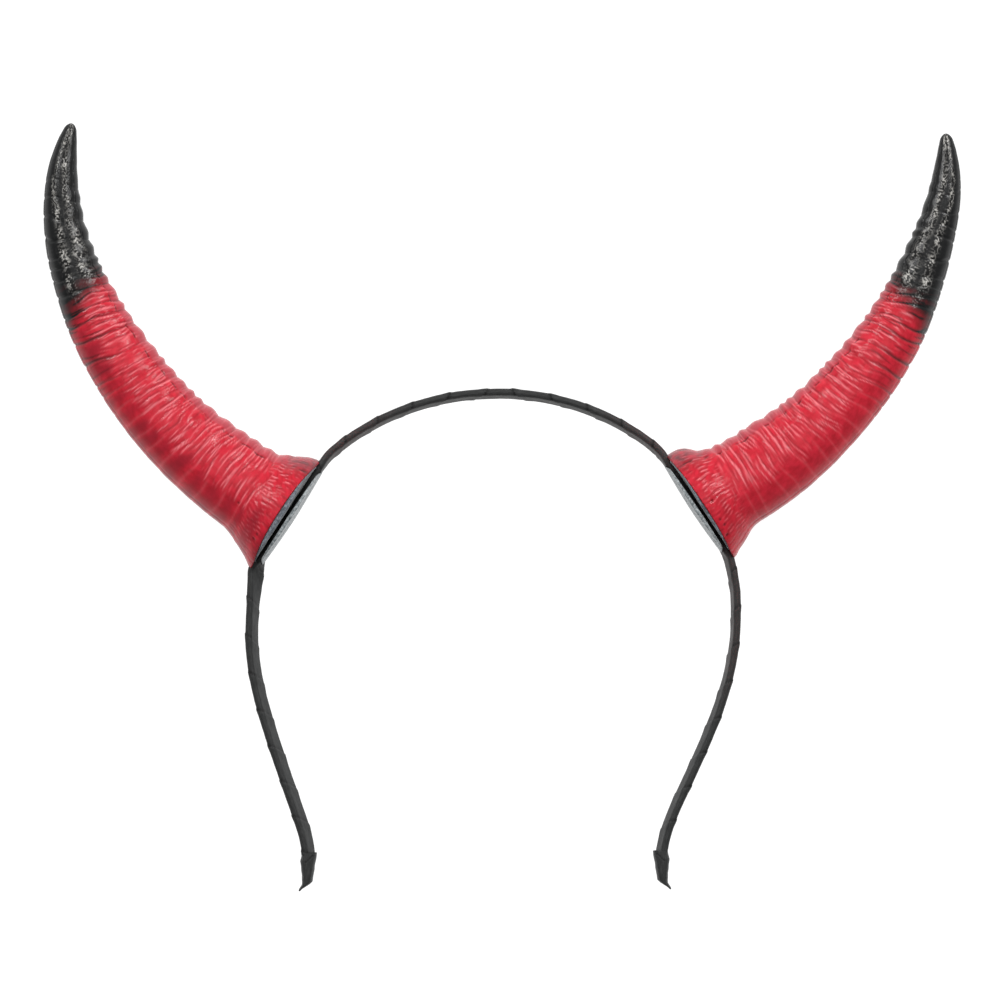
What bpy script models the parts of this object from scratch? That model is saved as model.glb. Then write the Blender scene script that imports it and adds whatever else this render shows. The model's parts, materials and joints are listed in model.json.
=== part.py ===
"""Devil horns headband, lying on its back. Metres, +Z up.

The headband is modelled in its own upright plane first: u to the right, v up towards the horn
tips, w towards the front. An empty then lays it down, so that u becomes +X, v nearly +Y and the
front faces up, at the small tilt at which the real one comes to rest.
"""
import math
from collections import namedtuple

import bmesh
import bpy
import numpy as np
from mathutils import Matrix

# Band: a flat springy strip wrapped in ribbon.
BAND_THICKNESS = 0.0021
BAND_WIDTH = 0.0056
BAND_SIDES = 12
BAND_STEP = 0.0046
SEAT_MARGIN = 0.0005

# Lengths along the band, from the top of its arch to where each horn sits, and below the horns.
LEFT_CROWN_LENGTH = 0.0566
RIGHT_CROWN_LENGTH = 0.0506
LEFT_LEG_LENGTH = 0.0834
RIGHT_LEG_LENGTH = 0.0880

# Slope of the straight stretch that each horn sits on, in degrees below level.
LEFT_SEAT_SLOPE = 57.0
RIGHT_SEAT_SLOPE = 56.5

# Horns: hollow moulded shells, open at the base.
HORN_WALL = 0.002
HOLLOW_END_RADIUS = 0.0016
HORN_WIDTH = 0.0244
HORN_DEPTH = 0.0226
LEFT_HORN_LENGTH = 0.1335
RIGHT_HORN_LENGTH = 0.1322
LEFT_HORN_BASE_LENGTH = 0.0345
RIGHT_HORN_BASE_LENGTH = 0.0325
HORN_BASE_DEPTH = 0.0290
FLARE_LENGTH = 0.0112
TIP_ROUNDING = 0.0018
RING_PITCH = 0.0046
RING_HEIGHT = 0.0005
RINGLESS_TIP = 0.0276
HORN_SIDES = 20
HOLLOW_SECTIONS = 13
TIP_SECTIONS = 4

# How far the rings stand proud, as shares of their height: the mean, and what it gains on the
# hollow side and loses on the bulging one. The tip stops short of a point by a share of its
# rounding.
RING_MEAN = 0.7
RING_SPREAD = 0.3
BLUNT_SHARE = 0.02

# Total turn of each horn from root to tip, and its lean at the root, in degrees.
LEFT_HORN_BEND = 72.0
RIGHT_HORN_BEND = 69.0
LEFT_HORN_LEAN = -1.2
RIGHT_HORN_LEAN = 5.4

# Felt pads: one between horn and band, one over the band on the side of the head. The pads step
# over the band and are pinched together at their edges.
FELT_THICKNESS = 0.0010
FELT_EDGE_GAP = 0.0009
FELT_PINCH = 0.00085
FELT_SHOULDER = 0.0046
PAD_INSET = 0.0004
BASE_PAD_SETBACK = 0.0030
COVER_PAD_SETBACK = 0.0014
PAD_ROUNDNESS = 2.3
PAD_SIDES = 28
PAD_RING_SHARES = (0.20, 0.52, 0.80, 1.0)

# Ends of the ribbon, folded over the tips of the band and a little wider than it.
RIBBON_END_LENGTH = 0.0108
RIBBON_END_WIDTH = 0.0046
RIBBON_END_FOLD = 0.0008
RIBBON_END_SIDES = 12
RIBBON_END_ROUNDNESS = 2.8

# Gap that separate pieces keep, the angle past which a crease stays sharp, in degrees, and the
# steps that a curved path is summed in.
CLEARANCE = 0.0003
CREASE_ANGLE = 50.0
PATH_STEPS = 2000

# Weights per cubic metre, which decide where the headband balances.
LATEX_DENSITY = 1000.0
BAND_DENSITY = 2000.0
FELT_DENSITY = 300.0

# Arch of the band. Columns: share of the crown length, share of the seat's slope, and twist of
# the strip in degrees, which turns its face on the head's side towards the front.
CrownRow = namedtuple("CrownRow", "along slope twist")
LEFT_CROWN = (
    CrownRow(0.00, 0.000, 13.0),
    CrownRow(0.13, 0.065, 13.0),
    CrownRow(0.25, 0.165, 13.0),
    CrownRow(0.50, 0.360, 13.0),
    CrownRow(0.75, 0.555, 12.0),
    CrownRow(0.92, 0.710, 3.0),
    CrownRow(1.00, 1.000, 0.0),
)
RIGHT_CROWN = (
    CrownRow(0.00, 0.000, 13.0),
    CrownRow(0.07, 0.085, 13.0),
    CrownRow(0.20, 0.150, 13.0),
    CrownRow(0.40, 0.300, 13.0),
    CrownRow(0.60, 0.445, 13.0),
    CrownRow(0.80, 0.590, 12.0),
    CrownRow(0.94, 0.740, 3.0),
    CrownRow(1.00, 1.000, 0.0),
)

# Legs. Columns: share of the leg length, slope in degrees, twist of the strip in degrees.
LegRow = namedtuple("LegRow", "along slope twist")
LEFT_LEG = (
    LegRow(0.01, 87.0, 4.0),
    LegRow(0.06, 86.0, 16.0),
    LegRow(0.12, 87.0, 25.0),
    LegRow(0.20, 89.5, 27.0),
    LegRow(0.31, 96.5, 27.0),
    LegRow(0.40, 102.0, 27.0),
    LegRow(0.54, 107.0, 27.0),
    LegRow(0.68, 109.0, 27.0),
    LegRow(0.80, 109.5, 27.0),
    LegRow(0.91, 108.0, 27.0),
    LegRow(1.00, 99.0, 27.0),
)
RIGHT_LEG = (
    LegRow(0.01, 82.0, 1.0),
    LegRow(0.08, 82.5, 8.0),
    LegRow(0.13, 87.5, 11.0),
    LegRow(0.19, 89.5, 11.0),
    LegRow(0.26, 94.0, 11.0),
    LegRow(0.33, 99.5, 12.0),
    LegRow(0.42, 105.0, 14.0),
    LegRow(0.55, 111.5, 17.0),
    LegRow(0.68, 114.3, 17.0),
    LegRow(0.81, 115.0, 17.0),
    LegRow(0.90, 110.5, 18.0),
    LegRow(1.00, 98.0, 20.0),
)

# Horn. Columns: share of its length, shares of the left and the right horn's total bend, and
# share of its width and depth.
HornRow = namedtuple("HornRow", "along left_bend right_bend girth")
HORN = (
    HornRow(0.00, 0.000, 0.000, 1.07),
    HornRow(0.08, 0.015, 0.007, 1.05),
    HornRow(0.17, 0.051, 0.094, 1.00),
    HornRow(0.25, 0.115, 0.178, 0.94),
    HornRow(0.33, 0.200, 0.256, 0.88),
    HornRow(0.42, 0.279, 0.330, 0.83),
    HornRow(0.50, 0.328, 0.393, 0.77),
    HornRow(0.58, 0.394, 0.479, 0.70),
    HornRow(0.67, 0.479, 0.571, 0.61),
    HornRow(0.75, 0.584, 0.622, 0.52),
    HornRow(0.83, 0.738, 0.691, 0.43),
    HornRow(0.92, 0.908, 0.855, 0.32),
    HornRow(1.00, 1.000, 0.990, 0.18),
)

# Folded ribbon end. Columns: shares of its length, width (sideways shift and width) and depth.
RibbonRow = namedtuple("RibbonRow", "along shift width depth")
RIBBON_END = (
    RibbonRow(0.00, -0.06, 0.92, 0.94),
    RibbonRow(0.21, 0.02, 1.00, 1.00),
    RibbonRow(0.48, 0.05, 0.84, 1.00),
    RibbonRow(0.75, 0.09, 0.68, 0.97),
    RibbonRow(0.87, 0.22, 0.42, 0.90),
    RibbonRow(1.00, 0.52, 0.12, 0.72),
)

Side = namedtuple("Side", "name sign crown_length crown leg_length leg seat_slope horn_length "
                          "horn_base_length horn_bend horn_lean")
SIDES = (
    Side("left", -1.0, LEFT_CROWN_LENGTH, LEFT_CROWN, LEFT_LEG_LENGTH, LEFT_LEG, LEFT_SEAT_SLOPE,
         LEFT_HORN_LENGTH, LEFT_HORN_BASE_LENGTH, LEFT_HORN_BEND, LEFT_HORN_LEAN),
    Side("right", 1.0, RIGHT_CROWN_LENGTH, RIGHT_CROWN, RIGHT_LEG_LENGTH, RIGHT_LEG, RIGHT_SEAT_SLOPE,
         RIGHT_HORN_LENGTH, RIGHT_HORN_BASE_LENGTH, RIGHT_HORN_BEND, RIGHT_HORN_LEAN),
)

# A place on the band: its centre, its outward direction along the band, and away from the head.
Seat = namedtuple("Seat", "centre along away")
FRONT = np.array((0.0, 0.0, 1.0))


def clear_scene():
    """Remove every object that the opened file holds."""
    for thing in list(bpy.data.objects):
        bpy.data.objects.remove(thing, do_unlink=True)


def make_material(name, colour, roughness):
    """Return a Principled BSDF material with a plain colour."""
    material = bpy.data.materials.new(name)
    material.use_nodes = True
    shader = material.node_tree.nodes["Principled BSDF"]
    shader.inputs["Base Color"].default_value = (*colour, 1.0)
    shader.inputs["Roughness"].default_value = roughness
    shader.inputs["Metallic"].default_value = 0.0
    return material


def column(rows, field):
    """One column of a table as an array."""
    return np.array([getattr(row, field) for row in rows])


def smooth(share):
    """Ease from 0 to 1 with level ends."""
    share = np.clip(share, 0.0, 1.0)
    return share * share * (3.0 - 2.0 * share)


def walk(start, headings, step):
    """Points reached from start by equal steps along the given headings, in radians."""
    moves = np.stack([np.cos(headings), np.sin(headings), np.zeros_like(headings)], axis=1) * step
    return np.vstack([start, start + np.cumsum(moves, axis=0)])


def seat_length(side):
    """Straight stretch of band under a horn."""
    return side.horn_base_length + 2.0 * SEAT_MARGIN


def slope_and_twist(side, distance):
    """Slope and twist of one side of the band, in degrees, at distances from its top."""
    seat_end = side.crown_length + seat_length(side)
    places = np.concatenate([
        column(side.crown, "along") * side.crown_length,
        [seat_end],
        seat_end + column(side.leg, "along") * side.leg_length,
    ])
    slopes = np.concatenate([
        column(side.crown, "slope") * side.seat_slope,
        [side.seat_slope],
        column(side.leg, "slope"),
    ])
    twists = np.concatenate([column(side.crown, "twist"), [0.0], column(side.leg, "twist")])
    return np.interp(distance, places, slopes), np.interp(distance, places, twists)


def side_path(side):
    """Centres, outward directions and twists along one side of the band, from its top."""
    length = side.crown_length + seat_length(side) + side.leg_length
    count = round(length / BAND_STEP)
    finer = PATH_STEPS // count
    step = length / (count * finer)
    middles = (np.arange(count * finer) + 0.5) * step
    slopes, _ = slope_and_twist(side, middles)
    headings = np.radians(-slopes)
    points = walk(np.zeros(3), headings, step)[::finer]
    slopes, twists = slope_and_twist(side, np.linspace(0.0, length, count + 1))
    directions = np.stack([np.cos(np.radians(slopes)), -np.sin(np.radians(slopes)), 0.0 * slopes], axis=1)
    flip = np.array((side.sign, 1.0, 1.0))
    return points * flip, directions * flip, twists


def find_seat(side):
    """The middle of the straight stretch that a horn sits on."""
    step = (side.crown_length + 0.5 * seat_length(side)) / PATH_STEPS
    slopes, _ = slope_and_twist(side, (np.arange(PATH_STEPS) + 0.5) * step)
    centre = walk(np.zeros(3), np.radians(-slopes), step)[-1]
    slope = math.radians(side.seat_slope)
    flip = np.array((side.sign, 1.0, 1.0))
    along = np.array((math.cos(slope), -math.sin(slope), 0.0)) * flip
    away = np.array((math.sin(slope), math.cos(slope), 0.0)) * flip
    return Seat(centre * flip, along, away)


def closed_mesh(name, rings, material):
    """Skin rings of equal count into one closed body, with its first and last rings filled."""
    work = bmesh.new()
    loops = [[work.verts.new(point) for point in ring] for ring in rings]
    for first, second in zip(loops, loops[1:]):
        for here in range(len(first)):
            there = (here + 1) % len(first)
            work.faces.new((first[here], first[there], second[there], second[here]))
    work.faces.new(reversed(loops[0]))
    work.faces.new(loops[-1])
    bmesh.ops.recalc_face_normals(work, faces=work.faces)
    mesh = bpy.data.meshes.new(name)
    work.to_mesh(mesh)
    work.free()
    mesh.shade_smooth()
    mesh.set_sharp_from_angle(angle=math.radians(CREASE_ANGLE))
    mesh.materials.append(material)
    thing = bpy.data.objects.new(name, mesh)
    bpy.context.collection.objects.link(thing)
    return thing


def oval(turns, roundness):
    """Points of an oval of half sizes 1: an ellipse at roundness 2, and squarer above it."""
    power = 2.0 / roundness
    across = np.sign(np.cos(turns)) * np.abs(np.cos(turns)) ** power
    upright = np.sign(np.sin(turns)) * np.abs(np.sin(turns)) ** power
    return across, upright


def strip_section():
    """Rounded outline of the wrapped strip: offsets away from the head and to the front."""
    turns = np.linspace(0.0, 2.0 * math.pi, BAND_SIDES, endpoint=False)
    half_round = 0.5 * BAND_THICKNESS
    half_flat = 0.5 * (BAND_WIDTH - BAND_THICKNESS)
    away = half_round * np.cos(turns)
    front = half_round * np.sin(turns) + half_flat * np.sign(np.round(np.sin(turns), 6))
    return away, front


def make_headband(material):
    """The ribbon-wrapped band: one rounded flat strip from leg end to leg end."""
    left_points, left_along, left_twists = side_path(SIDES[0])
    right_points, right_along, right_twists = side_path(SIDES[1])
    points = np.vstack([left_points[:0:-1], right_points])
    along = np.vstack([-left_along[:0:-1], right_along])
    twists = np.radians(np.concatenate([left_twists[:0:-1], right_twists]))
    away_offset, front_offset = strip_section()
    rings = []
    for point, direction, twist in zip(points, along, twists):
        normal = np.array((-direction[1], direction[0], 0.0))
        away = math.cos(twist) * normal - math.sin(twist) * FRONT
        front = math.cos(twist) * FRONT + math.sin(twist) * normal
        rings.append(point + np.outer(away_offset, away) + np.outer(front_offset, front))
    return closed_mesh("headband", rings, material)


def make_ribbon_end(side, material):
    """The folded end of the ribbon below a leg, pinched to a slanting edge that flicks outwards."""
    points, directions, _ = side_path(side)
    down = np.array((0.0, -1.0, 0.0))
    outward = np.array((side.sign, 0.0, 0.0))
    start = points[-1] + directions[-1] * CLEARANCE
    start = start + down * 0.5 * RIBBON_END_WIDTH * abs(directions[-1][0])
    turns = np.linspace(0.0, 2.0 * math.pi, RIBBON_END_SIDES, endpoint=False)
    flat, tall = oval(turns, RIBBON_END_ROUNDNESS)
    rings = []
    for row in RIBBON_END:
        centre = start + down * row.along * RIBBON_END_LENGTH + outward * row.shift * RIBBON_END_WIDTH
        half_width = 0.5 * row.width * RIBBON_END_WIDTH
        half_depth = 0.5 * row.depth * (BAND_WIDTH + RIBBON_END_FOLD)
        rings.append(centre + np.outer(flat * half_width, outward) + np.outer(tall * half_depth, FRONT))
    return closed_mesh("ribbon_end_" + side.name, rings, material)


def rim_height():
    """Height of a horn's rim over the middle of the band: half the strip, the pad and two gaps."""
    return 0.5 * BAND_THICKNESS + FELT_THICKNESS + 2.0 * CLEARANCE


def horn_centre_line(side, distances):
    """Centres and sideways directions of a horn at distances from its root."""
    seat = find_seat(side)
    root = seat.centre + seat.away * rim_height()
    root_heading = math.atan2(seat.away[1], seat.away[0])
    step = side.horn_length / PATH_STEPS
    middles = (np.arange(PATH_STEPS) + 0.5) * step
    bends = np.interp(middles / side.horn_length, column(HORN, "along"), column(HORN, side.name + "_bend"))
    leans = smooth(middles / FLARE_LENGTH) * side.horn_lean
    headings = root_heading + side.sign * np.radians(bends * side.horn_bend - leans)
    path = walk(root, headings, step)
    reached = np.arange(PATH_STEPS + 1) * step
    centres = np.stack([np.interp(distances, reached, path[:, axis]) for axis in range(3)], axis=1)
    turned = np.interp(distances, middles, headings)
    turned = np.where(distances <= 0.0, root_heading, turned)
    sideways = np.stack([np.sin(turned), -np.cos(turned), 0.0 * turned], axis=1) * side.sign
    return centres, sideways


def horn_half_sizes(side, distances):
    """Half width and half depth of a horn's smooth outer form at distances from its root."""
    girth = np.interp(distances / side.horn_length, column(HORN, "along"), column(HORN, "girth"))
    flare = 1.0 - smooth(distances / FLARE_LENGTH)
    half_width = 0.5 * (girth * HORN_WIDTH * (1.0 - flare) + side.horn_base_length * flare)
    half_depth = 0.5 * (girth * HORN_DEPTH * (1.0 - flare) + HORN_BASE_DEPTH * flare)
    past = np.clip((distances - side.horn_length + TIP_ROUNDING) / TIP_ROUNDING, 0.0, 1.0)
    rounding = np.sqrt(1.0 - past * past)
    return half_width * rounding, half_depth * rounding


def horn_ring(side, centre, sideways, half_width, half_depth, proud, lap, away):
    """One oval section of a horn. Rings stand proud most on its hollow side.

    At the foot, the corners past the pad's ends lap down onto the band.
    """
    turns = np.linspace(0.0, 2.0 * math.pi, HORN_SIDES, endpoint=False)
    strength = RING_MEAN - RING_SPREAD * np.cos(turns)
    across = (half_width + proud * strength) * np.cos(turns)
    forward = (half_depth + proud * strength) * np.sin(turns)
    pad_end = 0.5 * side.horn_base_length - BASE_PAD_SETBACK + CLEARANCE
    corner = smooth((np.abs(across) - pad_end) / (BASE_PAD_SETBACK - CLEARANCE))
    return centre + np.outer(across, sideways) + np.outer(forward, FRONT) - np.outer(corner * lap, away)


def make_horn(side, material):
    """A hollow curved horn with raised rings, a flared foot and a blunt tip, open at the foot."""
    away = find_seat(side).away
    ring_top = side.horn_length - TIP_ROUNDING
    steps = 2 * round(ring_top / RING_PITCH)
    body = np.arange(steps + 1) * ring_top / steps
    tip = ring_top + TIP_ROUNDING * np.sin(np.linspace(0.0, 0.5 * math.pi, TIP_SECTIONS + 1)[1:])
    tip[-1] = side.horn_length - BLUNT_SHARE * TIP_ROUNDING
    outer_at = np.concatenate([body, tip])
    crest = np.where(np.arange(len(outer_at)) % 2 == 1, 0.5, -0.5) * RING_HEIGHT
    fade = smooth(outer_at / FLARE_LENGTH) * smooth((ring_top - outer_at) / RINGLESS_TIP)
    outer = horn_sections(side, outer_at, crest * fade, 0.0, away)

    half_widths, half_depths = horn_half_sizes(side, body)
    roomy = np.minimum(half_widths, half_depths) > HORN_WALL + HOLLOW_END_RADIUS
    inner_at = np.linspace(0.0, body[roomy][-1], HOLLOW_SECTIONS)
    inner = horn_sections(side, inner_at, np.zeros(HOLLOW_SECTIONS), HORN_WALL, away)
    shell = outer[::-1] + inner
    return closed_mesh("horn_" + side.name, shell, material)


def horn_sections(side, distances, proud, wall, away):
    """Oval sections of a horn's outer face, or of its hollow where a wall is given."""
    centres, sideways = horn_centre_line(side, distances)
    half_widths, half_depths = horn_half_sizes(side, distances)
    corner_lap = FELT_THICKNESS + CLEARANCE
    laps = corner_lap * (1.0 - np.clip(distances / FLARE_LENGTH, 0.0, 1.0))
    return [
        horn_ring(side, centre, across, half_width - wall, half_depth - wall, rise, lap, away)
        for centre, across, half_width, half_depth, rise, lap
        in zip(centres, sideways, half_widths, half_depths, proud, laps)
    ]


def pad_outline(length, share):
    """Oval outline of a pad, drawn in by a share: places along the band and to the front."""
    turns = np.linspace(0.0, 2.0 * math.pi, PAD_SIDES, endpoint=False)
    half_depth = 0.5 * HORN_BASE_DEPTH - PAD_INSET
    across, upright = oval(turns, PAD_ROUNDNESS)
    return 0.5 * length * across * share, half_depth * upright * share


def pad_rings(seat, length, near_edge, near_middle, far_edge, far_middle):
    """Rings of a felt pad that steps over the band.

    Near faces the band and far faces away from it; each is given at the pad's edge and over the
    band, as a height along the seat's away direction.
    """
    channel = 0.5 * BAND_WIDTH + CLEARANCE

    def ring(share, edge, middle):
        along, front = pad_outline(length, share)
        raised = 1.0 - smooth((np.abs(front) - channel) / FELT_SHOULDER)
        height = edge + (middle - edge) * raised
        return (seat.centre + np.outer(along, seat.along) + np.outer(front, FRONT)
                + np.outer(height, seat.away))

    near = [ring(share, near_edge, near_middle) for share in PAD_RING_SHARES]
    far = [ring(share, far_edge, far_middle) for share in PAD_RING_SHARES]
    return near + far[::-1]


def make_base_pad(side, material):
    """The felt oval between a horn's rim and the band."""
    over_band = 0.5 * BAND_THICKNESS + CLEARANCE
    top = over_band + FELT_THICKNESS
    length = side.horn_base_length - 2.0 * BASE_PAD_SETBACK
    rings = pad_rings(find_seat(side), length, 0.5 * FELT_EDGE_GAP, over_band, top, top)
    return closed_mesh("base_pad_" + side.name, rings, material)


def make_cover_pad(side, material):
    """The felt oval over the band on the side of the head, pinched towards the other pad."""
    over_band = 0.5 * BAND_THICKNESS + CLEARANCE
    face = over_band + FELT_THICKNESS
    length = side.horn_base_length - 2.0 * COVER_PAD_SETBACK
    rings = pad_rings(find_seat(side), length, -0.5 * FELT_EDGE_GAP, -over_band, FELT_PINCH - face, -face)
    return closed_mesh("cover_pad_" + side.name, rings, material)


def mass_and_balance(thing, density):
    """Mass of one closed body and its centre of mass, from the cones under its triangles."""
    mesh = thing.data
    mesh.calc_loop_triangles()
    corners = np.array([vertex.co for vertex in mesh.vertices])
    triangles = corners[np.array([face.vertices for face in mesh.loop_triangles])]
    volumes = np.einsum("ij,ij->i", triangles[:, 0], np.cross(triangles[:, 1], triangles[:, 2])) / 6.0
    centres = triangles.sum(axis=1) / 4.0
    return density * volumes.sum(), (volumes[:, None] * centres).sum(axis=0) / volumes.sum()


def resting_slope(points, balance):
    """Slope of the edge of the back that carries the balance point, from (v, w) points."""
    chain = []
    for point in sorted(map(tuple, points)):
        while len(chain) > 1:
            (first_v, first_w), (last_v, last_w) = chain[-2:]
            turn = (last_v - first_v) * (point[1] - first_w) - (last_w - first_w) * (point[0] - first_v)
            if turn > 0.0:
                break
            chain.pop()
        chain.append(point)
    for low, high in zip(chain, chain[1:]):
        if low[0] <= balance <= high[0]:
            return math.atan2(high[1] - low[1], high[0] - low[0])
    return 0.0


def lay_down(things, densities):
    """Turn the headband onto its back and stand its lowest point on the ground, centred."""
    masses, balances = zip(*[mass_and_balance(*pair) for pair in zip(things, densities)])
    balance = np.average(balances, axis=0, weights=masses)
    points = np.vstack([[vertex.co for vertex in thing.data.vertices] for thing in things])
    turn = Matrix.Rotation(-resting_slope(points[:, 1:], balance[1]), 4, "X")
    laid = points @ np.array(turn.to_3x3()).T
    low = laid.min(axis=0)
    high = laid.max(axis=0)
    pose = bpy.data.objects.new("lying_headband", None)
    bpy.context.collection.objects.link(pose)
    stand = (-0.5 * (low[0] + high[0]), -0.5 * (low[1] + high[1]), -low[2])
    pose.matrix_world = Matrix.Translation(stand) @ turn
    for thing in things:
        thing.parent = pose
    bpy.context.view_layer.update()


def build():
    """Build every piece of the headband and lay it down."""
    clear_scene()
    ribbon = make_material("black_satin_ribbon", (0.055, 0.055, 0.055), 0.55)
    latex = make_material("red_painted_latex", (0.58, 0.045, 0.065), 0.35)
    felt = make_material("grey_felt", (0.30, 0.33, 0.35), 0.95)
    things = [make_headband(ribbon)]
    densities = [BAND_DENSITY]
    for side in SIDES:
        things.append(make_ribbon_end(side, ribbon))
        densities.append(BAND_DENSITY)
        things.append(make_horn(side, latex))
        densities.append(LATEX_DENSITY)
        things.append(make_base_pad(side, felt))
        densities.append(FELT_DENSITY)
        things.append(make_cover_pad(side, felt))
        densities.append(FELT_DENSITY)
    lay_down(things, densities)


build()
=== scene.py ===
"""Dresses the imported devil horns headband, which lies on its back on a pale floor."""
import json
import math
from collections import namedtuple

import bpy
import numpy as np
from mathutils import Matrix, Vector


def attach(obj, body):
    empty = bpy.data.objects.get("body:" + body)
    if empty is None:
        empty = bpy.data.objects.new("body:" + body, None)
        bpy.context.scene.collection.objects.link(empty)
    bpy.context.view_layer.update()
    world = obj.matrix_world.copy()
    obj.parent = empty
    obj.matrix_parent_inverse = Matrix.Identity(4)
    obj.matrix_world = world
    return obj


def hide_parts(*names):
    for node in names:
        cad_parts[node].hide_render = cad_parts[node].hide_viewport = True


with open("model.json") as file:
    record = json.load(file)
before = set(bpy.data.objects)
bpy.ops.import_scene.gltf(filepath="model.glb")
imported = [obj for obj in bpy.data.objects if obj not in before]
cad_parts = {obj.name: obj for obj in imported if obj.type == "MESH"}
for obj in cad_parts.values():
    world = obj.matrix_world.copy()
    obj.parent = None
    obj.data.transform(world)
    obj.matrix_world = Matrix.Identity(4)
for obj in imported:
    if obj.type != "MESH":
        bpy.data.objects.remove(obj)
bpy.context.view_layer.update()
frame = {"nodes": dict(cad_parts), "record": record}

# Band
# A springy strip, hidden all along, that is wound from end to end with black satin ribbon in a
# long overlapping spiral and glued. It carries all the rest, so it comes first.
BAND_THICKNESS = 0.0021
BAND_WIDTH = 0.0056
SEAT_MARGIN = 0.0005
BAND_SPACING = 0.00036
BAND_COLUMNS = 48
LAP_PITCH = 0.0106
LAP_HEIGHT = 0.00017
LAP_SHARE = 0.30
# The painted shadow line along the ribbon's lapped edge, as a share of the pitch.
LAP_SHADOW = 0.075
CREASE_SPACING = 0.0016
CREASE_HEIGHT = 0.00003
SLACK_SPACING = 0.0065
SLACK_HEIGHT = 0.00005
# Paint mist starts this far from the arch's top on either side and thickens towards the horn.
LEFT_MIST_START = 0.024
RIGHT_MIST_START = 0.022
MIST_FADE = 0.026
MIST_EDGE = 0.004
MIST_DOWN_LEG = 0.060
MIST_LEG_FADE = 0.022

# The halves of the real one differ, so each has its own sizes, in metres and degrees.
Side = namedtuple("Side", "name sign crown_length arch leg_length leg seat_slope horn_length "
                          "foot_length horn_bend horn_lean lap_start rim_height slot_height")

# Columns: share of the length, slope (as a share of the seat's slope on the arch, and in degrees
# on the leg), and twist in degrees, which turns the strip's inner face towards the front.
LEFT_ARCH = np.array([(0, 0, 13), (.13, .065, 13), (.25, .165, 13), (.5, .36, 13),
                      (.75, .555, 14), (.92, .71, 14), (1, 1, 8)])
RIGHT_ARCH = np.array([(0, 0, 13), (.07, .085, 13), (.2, .15, 13), (.4, .3, 13),
                       (.6, .445, 14), (.8, .59, 14), (.94, .74, 14), (1, 1, 8)])
LEFT_LEG = np.array([(.01, 86, 46), (.06, 84.7, 36), (.12, 85.7, 25), (.2, 88.5, 25), (.31, 96.8, 26),
                     (.4, 102.7, 27), (.54, 107.4, 27), (.68, 109, 27), (.8, 109.5, 27),
                     (.91, 108, 27), (.97, 99, 27), (1, 92, 27)])
RIGHT_LEG = np.array([(.01, 76, 16), (.08, 80, 14), (.13, 87.5, 12), (.19, 90.3, 11), (.26, 94.8, 11),
                      (.33, 100.3, 12), (.42, 105.8, 14), (.55, 112, 17), (.68, 114.5, 17),
                      (.81, 115, 17), (.9, 110.5, 18), (1, 98, 20)])
LEFT = Side("left", -1.0, 0.0566, LEFT_ARCH, 0.0834, LEFT_LEG, 57.0, 0.1343, 0.0345, 72.0, -1.2, 0.94,
            0.00260, 0.00095)
RIGHT = Side("right", 1.0, 0.0506, RIGHT_ARCH, 0.0880, RIGHT_LEG, 56.5, 0.1322, 0.0325, 69.0, 5.4, 0.10,
             0.00175, 0.00085)
FRONT = np.array((0.0, 0.0, 1.0))
FINE_STEPS = 2000
# The twist fades out over this share of the straight stretch, at both of its ends.
FLAT_SHARE = 0.12


def eased(share):
    """From 0 to 1 with level ends: three squares less two cubes of the share."""
    share = np.clip(share, 0.0, 1.0)
    return share * share * (3.0 - 2.0 * share)


def walked(start, headings, step):
    """Points reached from start by adding up equal steps along the headings, in radians."""
    moves = np.stack([np.cos(headings), np.sin(headings), np.zeros_like(headings)], axis=1) * step
    return np.vstack([start, start + np.cumsum(moves, axis=0)])


def sloped(side, distance):
    """Slope and twist of one side of the band, in degrees, read between the rows of its tables."""
    seat_end = side.crown_length + side.foot_length + 2.0 * SEAT_MARGIN
    flat = side.crown_length + FLAT_SHARE * side.foot_length, seat_end - FLAT_SHARE * side.foot_length
    places = np.concatenate([side.arch[:, 0] * side.crown_length, flat, [seat_end],
                             seat_end + side.leg[:, 0] * side.leg_length])
    slopes = np.concatenate([side.arch[:, 1] * side.seat_slope, 2 * [side.seat_slope],
                             [0.5 * (side.seat_slope + side.leg[0, 1])], side.leg[:, 1]])
    twists = np.concatenate([side.arch[:, 2], [0.0, 0.0, side.leg[0, 2]], side.leg[:, 2]])
    return np.interp(distance, places, slopes), np.interp(distance, places, twists)


def band_side(side):
    """Distances, centres, outward directions and twists along one side, from the arch's top."""
    length = side.crown_length + side.foot_length + 2.0 * SEAT_MARGIN + side.leg_length
    count = round(length / BAND_SPACING)
    reached = np.linspace(0.0, length, count + 1)
    slopes, _ = sloped(side, 0.5 * (reached[1:] + reached[:-1]))
    flip = np.array((side.sign, 1.0, 1.0))
    points = walked(np.zeros(3), np.radians(-slopes), length / count) * flip
    slopes, twists = sloped(side, reached)
    turned = np.radians(slopes)
    directions = np.stack([np.cos(turned), -np.sin(turned), np.zeros_like(turned)], axis=1) * flip
    return reached, points, directions, np.radians(twists)


def seat_of(side):
    """Centre of the straight stretch under a horn, the direction along it, and away from the head."""
    reach = side.crown_length + SEAT_MARGIN + 0.5 * side.foot_length
    step = reach / FINE_STEPS
    slopes, _ = sloped(side, (np.arange(FINE_STEPS) + 0.5) * step)
    flip = np.array((side.sign, 1.0, 1.0))
    centre = walked(np.zeros(3), np.radians(-slopes), step)[-1] * flip
    slope = math.radians(side.seat_slope)
    along = np.array((math.cos(slope), -math.sin(slope), 0.0)) * flip
    away = np.array((math.sin(slope), math.cos(slope), 0.0)) * flip
    return centre, along, away


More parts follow.
